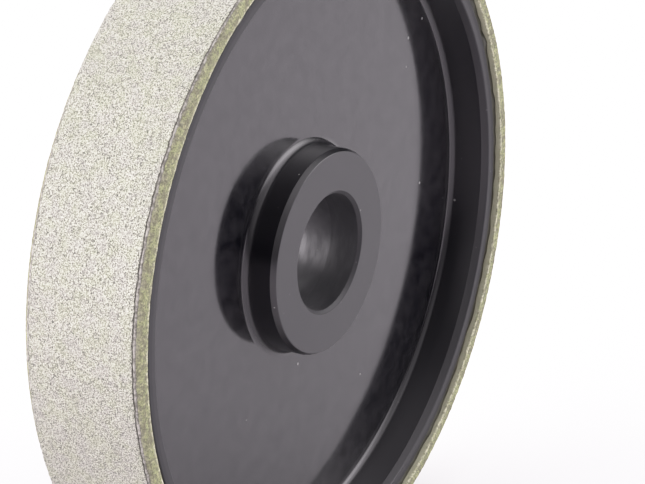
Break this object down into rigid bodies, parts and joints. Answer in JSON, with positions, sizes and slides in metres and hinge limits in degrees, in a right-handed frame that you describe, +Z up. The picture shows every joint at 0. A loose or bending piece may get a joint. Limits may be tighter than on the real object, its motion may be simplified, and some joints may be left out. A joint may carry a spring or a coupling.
{
  "type": "grinding wheel",
  "caption": "Diamond-coated lapidary grinding wheel: a laminated band bonded round a bored plastic hub with a recessed web on both sides.",
  "frame": {"origin": "centre of the wheel, on its axis and midway between its faces", "axes": "+Y along the wheel's axis, out of the back face; the front faces -Y; +Z up with the wheel standing on its tread"},
  "size_m": [0.1524, 0.0274, 0.1524],
  "materials": {
    "hub_plastic": "satin black moulded plastic",
    "adhesive": "dark cured adhesive",
    "laminate": "cut edge of a yellow-green laminate",
    "foil": "thin plated metal strip",
    "diamond_plating": "silver plating full of fine grit"
  },
  "bodies": {
    "root": {"hub": "hub_plastic", "bond_line": "adhesive", "backing_band": "laminate", "carrier_foil": "foil", "diamond_coat": "diamond_plating"}
  },
  "joints": []
}
